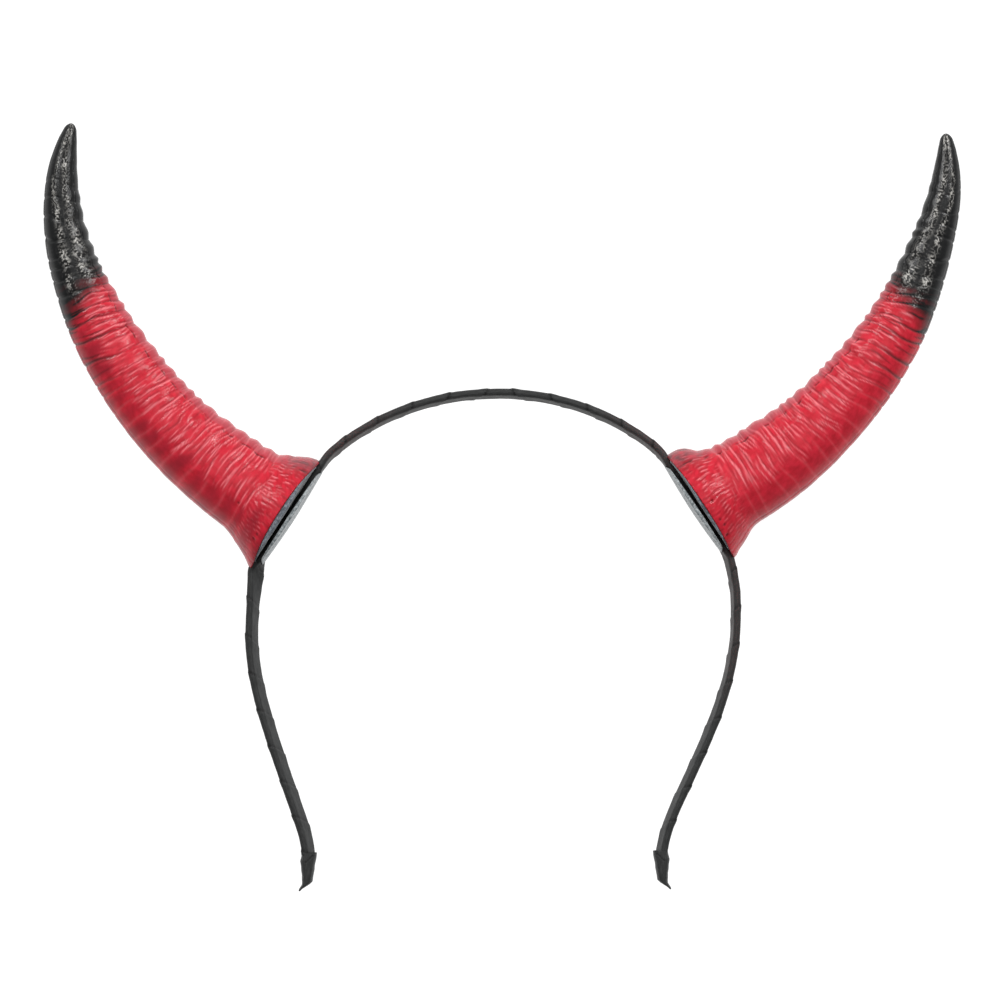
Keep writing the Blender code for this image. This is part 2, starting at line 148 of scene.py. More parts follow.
# The headband's own plane: u to the right, v up towards the horn tips, w towards the front. Both
# head seats face along that plane, so the cross product of their axes is w. The distances of the
# two seats' faces give u and v of the arch's top, and the middle of the band gives w.
FELT_THICKNESS = 0.0010
CLEARANCE = 0.0003
mounts = {mount["name"]: mount for mount in frame["record"]["mounts"]}
across = np.cross(mounts["head_seat_left"]["axis"], mounts["head_seat_right"]["axis"])
own_w = across / np.linalg.norm(across) * np.sign(across[2])
own_u = np.array((1.0, 0.0, 0.0))
own_v = np.cross(own_w, own_u)
own_axes = np.array((own_u, own_v, own_w))
head_face = 0.5 * BAND_THICKNESS + CLEARANCE + FELT_THICKNESS
packed_band = frame["nodes"]["headband"].data.vertices
corners = np.zeros(3 * len(packed_band))
packed_band.foreach_get("co", corners)
depths = corners.reshape(-1, 3) @ own_w
directions = [own_w]
distances = [0.5 * (depths.min() + depths.max())]
for side in (LEFT, RIGHT):
    centre, _, away = seat_of(side)
    facing = -away @ own_axes
    seat_place = np.array(mounts["head_seat_" + side.name]["pos_m"])
    directions.append(facing)
    distances.append((seat_place - (centre - away * head_face) @ own_axes) @ facing)
own_origin = np.linalg.solve(np.array(directions), np.array(distances))


def laid(points):
    """Own-plane points in the world: each coordinate times its axis, from the arch's top."""
    return points @ own_axes + own_origin


def crumpled(along, around, cells, seed):
    """Smooth random heights, about -1 to 1: sloping planes at the corners of a grid of cells,
    blended by eased shares. Both places are in cells, and those around repeat after cells."""
    along, around = np.broadcast_arrays(along, around)
    draw = np.random.default_rng(seed)
    low = math.floor(along.min())
    rows = math.ceil(along.max()) - low + 2
    turns = draw.uniform(0.0, 2.0 * math.pi, (rows, cells))
    slope_along, slope_around = np.cos(turns), np.sin(turns)
    row = np.floor(along).astype(int) - low
    cell = np.floor(around).astype(int)
    part_along = along - np.floor(along)
    part_around = around - np.floor(around)
    blend_along, blend_around = eased(part_along), eased(part_around)
    height = 0.0
    for step_along in (0, 1):
        for step_around in (0, 1):
            corner = (row + step_along, (cell + step_around) % cells)
            plane = (slope_along[corner] * (part_along - step_along)
                     + slope_around[corner] * (part_around - step_around))
            weight = (np.where(step_along, blend_along, 1.0 - blend_along)
                      * np.where(step_around, blend_around, 1.0 - blend_around))
            height = height + plane * weight
    return 1.5 * height


def tube_corners(count, stride, here, there, low_end, high_end):
    """Corners of a tube's faces: quads between rows that are stride places apart, from here to
    there in each row, then a fan of triangles to a place at either end."""
    first = (np.arange(count - 1) * stride)[:, None]
    quads = np.stack([first + here, first + there, first + stride + there, first + stride + here], axis=2)
    top = (count - 1) * stride
    fans = np.vstack([np.stack([there, here, low_end], axis=1),
                      np.stack([top + here, top + there, high_end], axis=1)])
    return np.concatenate([quads.ravel(), fans.ravel()]).astype(np.int32)


def skinned(name, rows, wrap, masks, material):
    """A closed body through rows of points round a path, its ends drawn in to the row's middle.

    rows is (rows, columns, 3) in the own plane. wrap holds the distances along and around at
    (rows, columns + 1, 2), which become the UV map. masks are shares per point, by name.
    """
    count, columns, _ = rows.shape
    points = laid(np.vstack([rows.reshape(-1, 3), rows[[0, -1]].mean(axis=1)]))
    here = np.arange(columns)
    low_end = np.full(columns, count * columns)
    corners = tube_corners(count, columns, here, (here + 1) % columns, low_end, low_end + 1)
    sizes = np.concatenate([np.full((count - 1) * columns, 4), np.full(2 * columns, 3)])
    mesh = bpy.data.meshes.new(name)
    mesh.vertices.add(len(points))
    mesh.vertices.foreach_set("co", points.ravel())
    mesh.loops.add(len(corners))
    mesh.loops.foreach_set("vertex_index", corners)
    mesh.polygons.add(len(sizes))
    mesh.polygons.foreach_set("loop_start", (np.cumsum(sizes) - sizes).astype(np.int32))
    mesh.update(calc_edges=True)
    top = (count - 1) * (columns + 1)
    wrap_corners = tube_corners(count, columns + 1, here, here + 1, here, top + here)
    picked = wrap.reshape(-1, 2)[wrap_corners]
    mesh.uv_layers.new(name="wrap").data.foreach_set("uv", picked.ravel().astype(np.float32))
    for mask, shares in masks.items():
        layer = mesh.attributes.new(mask, "FLOAT", "POINT")
        values = np.concatenate([shares.ravel(), shares[[0, -1]].mean(axis=1)])
        layer.data.foreach_set("value", values.astype(np.float32))
    mesh.validate()
    mesh.shade_smooth()
    mesh.materials.append(material)
    piece = bpy.data.objects.new(name, mesh)
    bpy.context.scene.collection.objects.link(piece)
    # A body whose volume comes out below nought has its faces inside out.
    mesh.calc_loop_triangles()
    triangles = np.zeros(len(mesh.loop_triangles) * 3, np.int32)
    mesh.loop_triangles.foreach_get("vertices", triangles)
    shape = points[triangles.reshape(-1, 3)] - points.mean(axis=0)
    if np.einsum("ij,ij->", shape[:, 0], np.cross(shape[:, 1], shape[:, 2])) < 0.0:
        mesh.flip_normals()
    return piece


def linear(code):
    """An sRGB hex colour as linear light: a straight foot, then the power 2.4."""
    shares = [int(code[place:place + 2], 16) / 255.0 for place in (0, 2, 4)]
    light = [share / 12.92 if share <= 0.04045 else ((share + 0.055) / 1.055) ** 2.4 for share in shares]
    return (*light, 1.0)


def node(tree, kind, links=None, **settings):
    """Add a node, set its properties and input values, and link its inputs from other outputs."""
    made = tree.nodes.new("ShaderNode" + kind)
    for key, value in settings.items():
        if hasattr(made, key):
            setattr(made, key, value)
        else:
            made.inputs[key.replace("_", " ")].default_value = value
    for key, source in (links or {}).items():
        tree.links.new(source, made.inputs[key])
    return made


def new_material(name):
    """An empty node material with its shader and output: returns it, its tree and the shader."""
    material = bpy.data.materials.new(name)
    material.use_nodes = True
    tree = material.node_tree
    return material, tree, tree.nodes["Principled BSDF"]


# Black satin ribbon, woven from polyester thread with its long floats along the ribbon: a soft sheen across
# the threads, dull where it is handled, a little red paint mist by the horns, and painted shadow along its
# lapped edges and in its folds. The threads are too fine to show, so they are drawn about three times as
# coarse. Counts per mm:
THREADS_ALONG = 0.5
THREADS_ACROSS = 3.2
WORN_SPOTS = 0.28
MIST_SPECKS = 2.6
satin, tree, shader = new_material("black_satin_ribbon")
wrap_uv = node(tree, "UVMap", uv_map="wrap")
mm_of_ribbon = node(tree, "Mapping", {"Vector": wrap_uv.outputs["UV"]}, Scale=(1000.0, 1000.0, 1000.0))
threads = node(tree, "TexNoise", {"Vector": node(tree, "Mapping", {"Vector": mm_of_ribbon.outputs[0]},
                                                 Scale=(THREADS_ALONG, THREADS_ACROSS, 1.0)).outputs[0]},
               Scale=1.0, Detail=3.0, Roughness=0.6)
wear = node(tree, "TexNoise", {"Vector": mm_of_ribbon.outputs[0]}, Scale=WORN_SPOTS, Detail=2.0)
tone = node(tree, "ValToRGB", {"Fac": threads.outputs["Fac"]})
tone.color_ramp.elements[0].position = 0.30
tone.color_ramp.elements[0].color = linear("222323")
tone.color_ramp.elements[1].position = 0.72
tone.color_ramp.elements[1].color = linear("373838")
mist = node(tree, "Attribute", attribute_name="mist")
specks = node(tree, "TexNoise", {"Vector": mm_of_ribbon.outputs[0]}, Scale=MIST_SPECKS, Detail=2.0)
speck_share = node(tree, "MapRange", {"Value": specks.outputs["Fac"]})
speck_share.inputs["From Min"].default_value = 0.50
speck_share.inputs["From Max"].default_value = 0.66
misted = node(tree, "Math", {0: mist.outputs["Fac"], 1: speck_share.outputs[0]}, operation="MULTIPLY")
ribbon_colour = node(tree, "Mix", data_type="RGBA")
ribbon_colour.inputs[7].default_value = linear("5a3432")
tree.links.new(misted.outputs[0], ribbon_colour.inputs[0])
tree.links.new(tone.outputs[0], ribbon_colour.inputs[6])
# Painted shadow along the lapped edges, in the ends' folds and inside their sleeves.
shadowed = node(tree, "Mix", data_type="RGBA")
shadowed.inputs[7].default_value = linear("090909")
tree.links.new(node(tree, "Attribute", attribute_name="edge_line").outputs["Fac"], shadowed.inputs[0])
tree.links.new(ribbon_colour.outputs[2], shadowed.inputs[6])
tree.links.new(shadowed.outputs[2], shader.inputs["Base Color"])
dullness = node(tree, "MapRange", {"Value": wear.outputs["Fac"]})
dullness.inputs["To Min"].default_value = 0.42
dullness.inputs["To Max"].default_value = 0.62
tree.links.new(dullness.outputs[0], shader.inputs["Roughness"])
shader.inputs["Specular IOR Level"].default_value = 0.25
shader.inputs["Sheen Weight"].default_value = 0.06
shader.inputs["Sheen Roughness"].default_value = 0.4
thread_bump = node(tree, "Bump", {"Height": threads.outputs["Fac"]}, Strength=0.35, Distance=0.00008)
tree.links.new(thread_bump.outputs[0], shader.inputs["Normal"])


def strip_outline(shares):
    """Outline of the flat strip with round edges, at shares of the way round: a circle whose
    centre slides from one edge to the other. Returns offsets and outward normals, away and front."""
    radius = 0.5 * BAND_THICKNESS
    slide = 0.5 * (BAND_WIDTH - BAND_THICKNESS)
    around = 4.0 * slide + 2.0 * math.pi * radius
    bend = math.pi * radius
    marks = np.array((0.0, 2.0 * slide, 2.0 * slide + bend, 4.0 * slide + bend, around))
    turn = np.interp(shares * around, marks, (0.0, 0.0, math.pi, math.pi, 2.0 * math.pi))
    centre = np.interp(shares * around, marks, (-slide, slide, slide, -slide, -slide))
    normal = np.stack([np.cos(turn), np.sin(turn)], axis=-1)
    place = normal * radius
    place[..., 1] += centre
    return place, normal, around


left_reached, left_points, left_directions, left_twists = band_side(LEFT)
right_reached, right_points, right_directions, right_twists = band_side(RIGHT)
reached = np.concatenate([-left_reached[:0:-1], right_reached])[:, None]
centres = np.vstack([left_points[:0:-1], right_points])
along = np.vstack([-left_directions[:0:-1], right_directions])
twists = np.concatenate([left_twists[:0:-1], right_twists])[:, None]
upright = np.stack([-along[:, 1], along[:, 0], np.zeros(len(along))], axis=1)
away_of_strip = np.cos(twists) * upright - np.sin(twists) * FRONT
front_of_strip = np.cos(twists) * FRONT + np.sin(twists) * upright
shares = np.linspace(0.0, 1.0, BAND_COLUMNS + 1)
place, normal, around = strip_outline(shares)
# The ribbon's edge crosses the front on a slant and climbs more steeply round the back.
climb = np.interp(shares, (0.0, 0.24, 0.76, 1.0), (0.0, 0.30, 0.70, 1.0))
start = np.where(reached < 0.0, LEFT.lap_start, RIGHT.lap_start)
turn_share = np.abs(reached) / LAP_PITCH - climb[None, :] + start
turn_share = turn_share - np.floor(turn_share)
lift = LAP_HEIGHT * (1.0 - eased(turn_share / LAP_SHARE))
creases = crumpled(reached / CREASE_SPACING, 9.0 * shares, 9, 11)
slack = crumpled(reached / SLACK_SPACING, 4.0 * shares, 4, 12)
lift = lift + CREASE_HEIGHT * creases + SLACK_HEIGHT * slack
offset = place[None, :, :] + normal[None, :, :] * lift[..., None]
band_rows = (centres[:, None, :] + offset[..., :1] * away_of_strip[:, None, :]
             + offset[..., 1:] * front_of_strip[:, None, :])
# Paint mist lies on the front of both stretches of the arch by the horns and of the right leg.
mist_left = eased((reached + LEFT.crown_length) / MIST_EDGE) * eased((-reached - LEFT_MIST_START) / MIST_FADE)
past_seat = reached - RIGHT.crown_length - MIST_DOWN_LEG
mist_right = eased((reached - RIGHT_MIST_START) / MIST_FADE) * (1.0 - eased(past_seat / MIST_LEG_FADE))
mist_weight = 0.9 - 0.4 * (reached > RIGHT.crown_length)
facing_front = eased(0.5 + 1.6 * normal[None, :, 1] - 0.5 * normal[None, :, 0])
mist_share = mist_weight * (mist_left + mist_right) * facing_front
# Painted shadow: a dark line along the edge of each lap.
edge_line = np.exp(-((1.0 - turn_share) / LAP_SHADOW) ** 2)
wrap = np.stack(np.broadcast_arrays(reached, shares * around), axis=-1)
band_masks = {"mist": mist_share[:, :-1], "edge_line": edge_line[:, :-1]}
band = skinned("ribbon_wound_band", band_rows[:, :-1], wrap, band_masks, satin)
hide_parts("headband")
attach(band, "root")

# Ribbon ends
# Where the winding stops, the ribbon is folded over the tip of the strip as a flat sleeve, glued,
# and pinched to a slanting edge that flicks outwards.
END_LENGTH = 0.0108
END_WIDTH = 0.0046
END_DEPTH = 0.0064
END_COLUMNS = 64
# Columns: share of the length, shift to the outside and width as shares of the width, and depth.
END_TABLE = np.array([(0, -.07, .91, .94), (.10, -.03, .94, .97), (.21, .02, .95, 1), (.37, .03, .84, 1),
                      (.58, .04, .73, 1), (.76, .07, .64, .97), (.83, .16, .47, .94), (.89, .31, .33, .88),
                      (.95, .47, .21, .82), (1, .54, .12, .74)])
END_OVERLAP = 0.0006
END_WALL = 0.00022
END_GIRTH = 0.017
SLEEVE_POWER = 0.7
BUCKLE_HEIGHT = 0.00008
# The fold, dented and painted dark as shade, starts this far to the inside and slants to the outside on its
# way down.
FOLD_START = -0.0014
FOLD_SLANT = 0.0021
FOLD_TOP = 0.0006
FOLD_LENGTH = 0.0020
FOLD_MARGIN = 0.0001
FOLD_WIDTH = 0.00026
FOLD_DEPTH = 0.00015


def sleeve_rows(side, drops, inset):
    """Squarish ovals down from the strip's tip, set in by a wall: a power of cosine and sine. Also the share
    of the painted shade in the fold that slants over the front, a bell curve of the distance from it."""
    _, points, directions, _ = band_side(side)
    outward = np.array((side.sign, 0.0, 0.0))
    down = np.array((0.0, -1.0, 0.0))
    tip = points[-1] - down * END_OVERLAP
    shift, width, depth = (np.interp(drops, END_TABLE[:, 0], END_TABLE[:, at])[:, None] for at in (1, 2, 3))
    turns = np.linspace(0.0, 2.0 * math.pi, END_COLUMNS, endpoint=False)[None, :]
    across, forward = np.cos(turns), np.sin(turns)
    flat = np.sign(across) * np.abs(across) ** SLEEVE_POWER * (0.5 * width * END_WIDTH - inset)
    deep = np.sign(forward) * np.abs(forward) ** SLEEVE_POWER * (0.5 * depth * END_DEPTH - inset)
    fall = drops[:, None] * END_LENGTH + np.zeros_like(turns)
    buckle = BUCKLE_HEIGHT * crumpled(fall / 0.002, turns / (2.0 * math.pi) * 7.0, 7, 21)
    flat = flat * (1.0 + buckle / 0.0012) + shift * END_WIDTH
    way = np.clip((fall - FOLD_TOP) / FOLD_LENGTH, 0.0, 1.0)
    apart = (flat - (FOLD_START + FOLD_SLANT * way)) / FOLD_WIDTH
    within = (fall > FOLD_TOP - FOLD_MARGIN) * (fall < FOLD_TOP + FOLD_LENGTH + FOLD_MARGIN)
    fold = np.exp(-apart ** 2) * within * (forward > 0.0)
    deep = deep - FOLD_DEPTH * fold
    return tip + down * fall[..., None] + outward * flat[..., None] + FRONT * deep[..., None], fold


for side in (LEFT, RIGHT):
    outer, fold = sleeve_rows(side, np.linspace(1.0, 0.0, 90), 0.0)
    inner, _ = sleeve_rows(side, np.linspace(0.01, 0.22, 12), END_WALL)
    rows = np.concatenate([outer, inner])
    steps = np.linspace(0.0, END_LENGTH, len(rows))[:, None]
    girth = END_GIRTH * np.linspace(0.0, 1.0, END_COLUMNS + 1)
    wrap = np.stack(np.broadcast_arrays(steps, girth), axis=-1)
    # Painted shade in the fold and all over the inner wall of the sleeve.
    masks = {"mist": np.zeros(rows.shape[:2]),
             "edge_line": np.concatenate([0.9 * fold, np.ones(inner.shape[:2])])}
    end = skinned("folded_ribbon_end_" + side.name, rows, wrap, masks, satin)
    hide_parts("ribbon_end_" + side.name)
    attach(end, "root")

# Felt pads
# Two ovals of pressed grey felt to each horn, one between its foot and the band and one over the
# band on the side of the head. They step over the band, which they are glued to, and the foot's
# bowed rim pinches them to nothing at their ends.
FOOT_DEPTH = 0.0290
CORNER_HEIGHT = 0.00085
RIM_POWER = 2.4
PAD_INSET = 0.0004
BASE_PAD_SETBACK = 0.0011
COVER_PAD_SETBACK = 0.0016
COVER_THICKNESS = 0.00070
COVER_END_SHARE = 0.25
PAD_COLUMNS = 260
PAD_POWER = 2.0 / 2.3
FELT_SHOULDER = 0.0046
FELT_EDGE = 0.00025
FELT_BITE = 0.00005
STRIP_FACE = 0.5 * BAND_THICKNESS + FELT_BITE
SHOULDER_GAP = 0.0002
COVER_DRAPE = 0.00045
DIMPLE_HEIGHT = 0.00003
# Specks per mm, about as fine as the fibres of pressed felt look from here.
FELT_FIBRES = 2.3
FELT_CLUMPS = 1.1


def rim_height(side, flat):
    """Height of the foot's rim over the band's middle: full in the middle and falling by a power
    of the way to the corners, which rest on the band."""
    way = np.clip(np.abs(flat) / (0.5 * side.foot_length), 0.0, 1.0)
    return side.rim_height + (CORNER_HEIGHT - side.rim_height) * way ** RIM_POWER


def felt_material(name, dark, light):
    """Pressed wool felt: matt, with fine fibres at random that speckle it light and dark."""
    felt, tree, shader = new_material(name)
    place = node(tree, "TexCoord").outputs["Object"]
    fibres = node(tree, "TexNoise", {"Vector": place}, Scale=1000.0 * FELT_FIBRES, Detail=3.0,
                  Roughness=0.7)
    clumps = node(tree, "TexNoise", {"Vector": place}, Scale=1000.0 * FELT_CLUMPS, Detail=2.0)
    mixed = node(tree, "Math", {0: fibres.outputs["Fac"], 1: clumps.outputs["Fac"]}, operation="MULTIPLY")
    tone = node(tree, "ValToRGB", {"Fac": mixed.outputs[0]})
    tone.color_ramp.elements[0].position = 0.15
    tone.color_ramp.elements[0].color = linear(dark)
    tone.color_ramp.elements[1].position = 0.37
    tone.color_ramp.elements[1].color = linear(light)
    tree.links.new(tone.outputs[0], shader.inputs["Base Color"])
    shader.inputs["Roughness"].default_value = 0.95
    shader.inputs["Sheen Weight"].default_value = 0.3
    bump = node(tree, "Bump", {"Height": fibres.outputs["Fac"]}, Strength=0.6, Distance=0.00012)
    tree.links.new(bump.outputs[0], shader.inputs["Normal"])
    return felt


def pad_rows(side, length, faces, seed):
    """An oval sheet of felt. Each face is drawn out from its middle as scaled ovals, at heights
    that faces works out from the places along the band and to the front; the rim is rough."""
    centre, along, away = seat_of(side)
    turns = np.linspace(0.0, 2.0 * math.pi, PAD_COLUMNS, endpoint=False)[None, :]
    shares = np.concatenate([np.linspace(0.04, 0.94, 18), np.sin(np.linspace(1.25, 0.5 * math.pi, 5))])
    shares = np.concatenate([shares, shares[::-1]])[:, None]
    far = (np.arange(len(shares)) >= len(shares) // 2)[:, None]
    across, forward = np.cos(turns), np.sin(turns)
    flat = 0.5 * length * np.sign(across) * np.abs(across) ** PAD_POWER * shares
    deep = (0.5 * FOOT_DEPTH - PAD_INSET) * np.sign(forward) * np.abs(forward) ** PAD_POWER * shares
    cell = turns / (2.0 * math.pi)
    fuzz = crumpled(0.5 + 3.0 * shares, 130.0 * cell, 130, seed)
    ragged = crumpled(0.5, 24.0 * cell, 24, seed + 1)
    out = 1.0 + (0.005 * fuzz + 0.008 * ragged) * eased((shares - 0.8) / 0.2)
    flat, deep = flat * out, deep * out
    near, high = faces(side, flat, deep)
    height = np.where(far, high, near)
    middle = 0.5 * (near + high)
    rim = np.clip((shares - 0.955) / 0.045, 0.0, 1.0)
    height = middle + (height - middle) * np.sqrt(np.clip(1.0 - 0.75 * rim * rim, 0.0, 1.0))
    height = height + DIMPLE_HEIGHT * crumpled(40.0 * shares, 90.0 * cell, 90, seed + 2)
    return centre + along * flat[..., None] + FRONT * deep[..., None] + away * height[..., None]


def over_strip(deep):
    """1 over the band and 0 past the felt's shoulder beside it, eased between."""
    return 1.0 - eased((np.abs(deep) - 0.5 * BAND_WIDTH - SHOULDER_GAP) / FELT_SHOULDER)


def base_faces(side, flat, deep):
    """The felt under the horn: on the band, and lifting off it towards the crown, up to the rim."""
    top = rim_height(side, flat) - FELT_BITE
    lifted = side.slot_height + 0.8 * side.slot_height * eased(-2.4 * flat / side.foot_length)
    low = np.minimum(lifted + (STRIP_FACE - lifted) * over_strip(deep), top - FELT_EDGE)
    return low, top


def cover_faces(side, flat, deep):
    """The felt on the head's side: over the band, and drawn up to the other felt beside it. It
    thins out towards both ends."""
    way = np.clip(np.abs(flat) / (0.5 * side.foot_length - COVER_PAD_SETBACK), 0.0, 1.0)
    to_crown = np.clip(-2.0 * flat / side.foot_length, 0.0, 1.0)
    edge = FELT_EDGE * (1.0 + to_crown)
    near = -edge - (STRIP_FACE - edge) * over_strip(deep)
    bow = (1.0 - (1.0 - COVER_END_SHARE) * way ** 1.8) * (1.0 - 0.25 * to_crown)
    far = near - COVER_THICKNESS * bow - COVER_DRAPE * (1.0 - over_strip(deep)) * bow
    return near, far


blue_felt = felt_material("blue_grey_felt", "454b52", "8b939c")
pale_felt = felt_material("pale_grey_felt", "565e61", "b0b6b8")
# Columns: names of the piece and of the node that it replaces, without the side, then the rest.
PADS = (("felt_under_horn_", "base_pad_", BASE_PAD_SETBACK, base_faces, 31, blue_felt),
        ("felt_on_head_side_", "cover_pad_", COVER_PAD_SETBACK, cover_faces, 41, pale_felt))
for order, side in enumerate((LEFT, RIGHT)):
    for piece_name, node_name, setback, faces, seed, felt in PADS:
        rows = pad_rows(side, side.foot_length - 2.0 * setback, faces, seed + order)
        wrap = np.zeros((len(rows), PAD_COLUMNS + 1, 2))
        pad = skinned(piece_name + side.name, rows, wrap, {}, felt)
        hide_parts(node_name + side.name)
        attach(pad, "root")

# Horns
# Hollow shells of latex cast in a two-part mould, crinkled like crepe between growth rings, then
# sprayed glossy red with a black tip. The flared foot is glued over the felt.
HORN_WALL = 0.002
HORN_WIDTH = 0.0244
HORN_DEPTH = 0.0226
FLARE_LENGTH = 0.0112
TIP_ROUNDING = 0.0018
RING_PITCH = 0.0046
HORN_ROWS = 440
TIP_ROWS = 12
INSIDE_ROWS = 14
HORN_COLUMNS = 200
HOLLOW_SHARE = 0.86
ROOT_HEIGHT = 0.5 * BAND_THICKNESS + FELT_THICKNESS + 2.0 * CLEARANCE
FRONT_CROWDING = 0.30
FRONT_SEAM = math.radians(141.0)
BULGE_SEAM = math.radians(22.0)
BACK_OF_FIN = math.radians(240.0)
# Heights and depths of the casting's relief.
RING_HEIGHT = 0.00050
GROOVE_DEPTH = 0.00034
SWELLING_HEIGHT = 0.00022
FOLD_HEIGHT = 0.00016
PLEAT_HEIGHT = 0.00018
GLINT_HEIGHT = 0.00014
SEAM_DEPTH = 0.00040
BULGE_SEAM_DEPTH = 0.00015
# Lengths of the random waves that bend, break and mottle the crinkles.
WANDER_LENGTH = 0.0110
WAVER_LENGTH = 0.0040
SWAY_LENGTH = 0.0060
PLEAT_LENGTH = 0.0019
SCATTER_LENGTH = 0.0037
BREAK_LENGTH = 0.0020
MOTTLE_LENGTH = 0.0012
# Spacings of the crinkles along the horn, and the number of pleats round its foot.
LONG_FOLD = 0.0020
SHORT_FOLD = 0.0012
SWELLING_LENGTH = 0.0046
GLINT_LENGTH = 0.0008
PLEATS = 74
PLEATED_LENGTH = 0.0062
# Where the black begins and how long it takes to cover, as shares of the horn's length.
BLACK_START = 0.622
BLACK_FADE = 0.075
# Columns: share of the length, shares of the left and the right bend, share of width and depth.
HORN_TABLE = np.array([(0, 0, 0, 1.07), (.08, .015, .007, 1.05), (.17, .051, .094, 1),
                       (.25, .115, .178, .94), (.33, .2, .256, .88), (.42, .279, .33, .83),
                       (.5, .328, .393, .77), (.58, .4, .479, .7), (.67, .501, .571, .6),
                       (.75, .616, .622, .515), (.79, .675, .655, .47), (.83, .737, .691, .43),
                       (.88, .81, .79, .37), (.92, .902, .855, .31), (.965, .955, .93, .215),
                       (1, .993, .99, .11)])
# Lumps and pits of the castings. Columns: distance from the foot, turn in degrees (0 on the
# bulging side, 90 at the front, 180 on the hollow side), reach along and round, and height.
LEFT_LUMPS = np.array([(0.0000, 0.0, 0.0020, 30.0, 0.00130), (0.0880, 0.0, 0.0120, 60.0, -0.00030),
                       (0.0050, 186.0, 0.0045, 34.0, 0.00055), (0.0040, 0.0, 0.0040, 30.0, -0.00035),
                       (0.0008, 186.0, 0.0020, 25.0, 0.00050), (0.0700, 180.0, 0.0350, 50.0, 0.00025),
                       (0.0020, 58.0, 0.0003, 1.2, -0.0005), (0.0022, 51.0, 0.0005, 1.2, -0.0005),
                       (0.0108, 69.0, 0.0003, 1.2, -0.0003)])
RIGHT_LUMPS = np.array([(0.0000, 0.0, 0.0020, 30.0, 0.00140), (0.0000, 182.0, 0.0018, 25.0, 0.00050),
                        (0.0034, 184.0, 0.0028, 34.0, 0.00110), (0.0070, 182.0, 0.0020, 26.0, -0.00090),
                        (0.0125, 180.0, 0.0050, 30.0, -0.00060), (0.0600, 180.0, 0.0450, 50.0, -0.00025),
                        (0.0600, 0.0, 0.0450, 50.0, 0.00025), (0.0045, 0.0, 0.0035, 24.0, 0.00060),
                        (0.0023, 88.0, 0.0003, 1.2, -0.0005), (0.0014, 67.0, 0.0003, 1.2, -0.0005),
                        (0.0018, 59.0, 0.0003, 1.2, -0.0005), (0.0010, 47.0, 0.0005, 1.5, -0.0005)])
PIT_REACH = 0.0010
# Strips of the black tip where the crinkles carry painted silver glints. Columns: share of the length, places
# of the outer and the inner strip as cosines of the turn, and half width.
GLITTER_TABLE = np.array([(.60, .20, -.45, .15), (.68, .25, -.45, .18), (.75, .17, -.42, .16),
                          (.81, .26, -.36, .13), (.86, .42, -.26, .12), (.92, .34, -.14, .13),
                          (.96, .20, -.30, .16), (1, .10, -.30, .22)])


def horn_line(side, distances):
    """Centres and sideways directions, towards the bulging side, at distances from the foot: a path
    whose heading turns from the seat's by the table's share of the bend, less an eased lean."""
    seat, _, away = seat_of(side)
    root = seat + away * ROOT_HEIGHT
    first = math.atan2(away[1], away[0])
    step = side.horn_length / FINE_STEPS
    middles = (np.arange(FINE_STEPS) + 0.5) * step
    bends = np.interp(middles / side.horn_length, HORN_TABLE[:, 0], HORN_TABLE[:, 1 if side is LEFT else 2])
    lean = eased(middles / FLARE_LENGTH) * side.horn_lean
    headings = first + side.sign * np.radians(bends * side.horn_bend - lean)
    path = walked(root, headings, step)
    walked_to = np.arange(FINE_STEPS + 1) * step
    centre = np.stack([np.interp(distances, walked_to, path[:, axis]) for axis in range(3)], axis=1)
    turned = np.interp(distances, middles, headings)
    sideways = np.stack([np.sin(turned), -np.cos(turned), np.zeros_like(turned)], axis=1) * side.sign
    return centre, sideways


def horn_halves(side, distances):
    """Half width and half depth: the table's girth, eased out into the foot's oval."""
    girth = np.interp(distances / side.horn_length, HORN_TABLE[:, 0], HORN_TABLE[:, 3])
    flare = 1.0 - eased(distances / FLARE_LENGTH)
    half_width = 0.5 * (girth * HORN_WIDTH * (1.0 - flare) + side.foot_length * flare)
    half_depth = 0.5 * (girth * HORN_DEPTH * (1.0 - flare) + FOOT_DEPTH * flare)
    past = np.clip((distances - side.horn_length + TIP_ROUNDING) / TIP_ROUNDING, 0.0, 1.0)
    rounding = np.sqrt(1.0 - past * past)
    return (half_width * rounding)[:, None], (half_depth * rounding)[:, None]


def from_notch(distance, seed, length):
    """Share of the way from the nearest notch between two rings to the crest of its ring. The
    rings' pitch is drawn at random about RING_PITCH."""
    draw = np.random.default_rng(seed)
    count = int(length / RING_PITCH) + 6
    notches = np.cumsum(RING_PITCH * draw.uniform(0.6, 1.4, count)) - 2.5 * RING_PITCH
    number = np.interp(distance, notches, np.arange(count))
    return 1.0 - np.abs(2.0 * (number - np.floor(number)) - 1.0)


def line_of(heights, width, shift=0.0):
    """Thin lines where random heights cross a value: a bell curve of the height, this wide."""
    return np.exp(-((heights - shift) / width) ** 2)


def strokes(phase, switch, width, shift=0.0):
    """Thin lines at the whole numbers of a phase, or shifted from them, broken into strokes where
    random heights are low."""
    gap = phase - shift - np.round(phase - shift)
    return np.exp(-(gap / width) ** 2) * eased(0.45 + 1.7 * switch)


def lumps_of(side, distance, turn):
    """Height of the casting's lumps, each a bell curve along and round, and the share of its pits."""
    height, pits = np.zeros_like(distance), np.zeros_like(distance)
    for place, degrees, reach, spread, rise in LEFT_LUMPS if side is LEFT else RIGHT_LUMPS:
        apart = (np.degrees(turn) - degrees + 180.0) % 360.0 - 180.0
        lump = np.exp(-((distance - place) / reach) ** 2 - (apart / spread) ** 2)
        height = height + rise * lump
        pits = pits + lump * (reach < PIT_REACH)
    return height, pits


